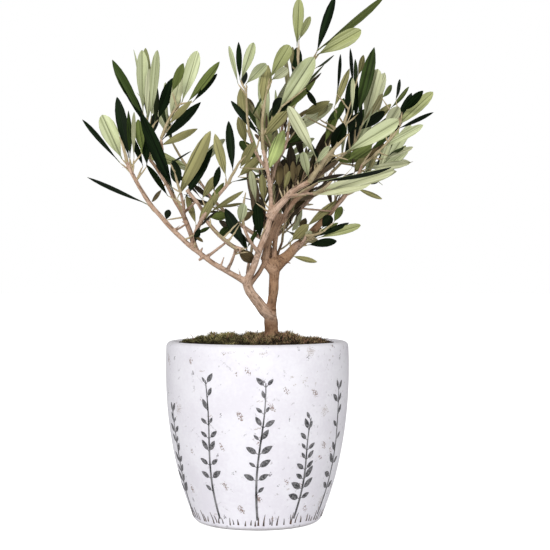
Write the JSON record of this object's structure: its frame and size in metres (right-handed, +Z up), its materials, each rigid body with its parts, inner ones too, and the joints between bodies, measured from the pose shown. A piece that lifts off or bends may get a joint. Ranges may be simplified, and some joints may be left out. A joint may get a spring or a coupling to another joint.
{
  "type": "potted olive bonsai",
  "caption": "Small olive tree with a low fork, spreading boughs and open sprays of narrow leaves, growing from moss in a round tapered white ceramic pot.",
  "frame": {"origin": "centre of the pot's flat underside, on the surface it stands on", "axes": "+Z up along the pot's axis, -Y towards the side that the picture shows, +X to that view's right"},
  "size_m": [0.2652, 0.2468, 0.4076],
  "materials": {
    "glaze": "satin white glaze with fine specks and scuffs",
    "earth": "damp potting soil",
    "moss": "short green and brown moss",
    "bark": "rough pinkish brown bark",
    "foliage": "leathery leaves, dark above and silvery green below"
  },
  "bodies": {
    "root": {"pot": "glaze", "soil": "earth", "moss": "moss", "trunk": "bark", "left_limb": "bark", "left_bough": "bark", "left_upper_bough": "bark", "left_inner_bough": "bark", "left_gap_bough": "bark", "left_mid_bough": "bark", "middle_bough": "bark", "middle_low_bough": "bark", "inner_left_bough": "bark", "left_low_bough": "bark", "middle_left_bough": "bark", "middle_right_bough": "bark", "centre_left_bough": "bark", "crown_bough": "bark", "top_bough": "bark", "right_bough": "bark", "centre_bough": "bark", "right_low_bough": "bark", "right_upper_bough": "bark", "right_front_bough": "bark", "inner_bough": "bark", "back_bough": "bark", "back_left_bough": "bark", "back_right_bough": "bark", "back_low_bough": "bark", "left_outer_spray": "foliage", "left_crown_spray": "foliage", "left_inner_spray": "foliage", "left_gap_spray": "foliage", "left_mid_spray": "foliage", "middle_low_spray": "foliage", "left_low_spray": "foliage", "inner_left_spray": "foliage", "centre_left_spray": "foliage", "centre_up_spray": "foliage", "top_spray": "foliage", "crown_spray": "foliage", "right_mid_spray": "foliage", "right_top_spray": "foliage", "right_outer_spray": "foliage", "right_tip_spray": "foliage", "right_low_spray": "foliage", "right_front_spray": "foliage", "inner_spray": "foliage", "back_centre_spray": "foliage", "back_left_spray": "foliage", "back_right_spray": "foliage", "back_low_spray": "foliage"}
  },
  "joints": []
}
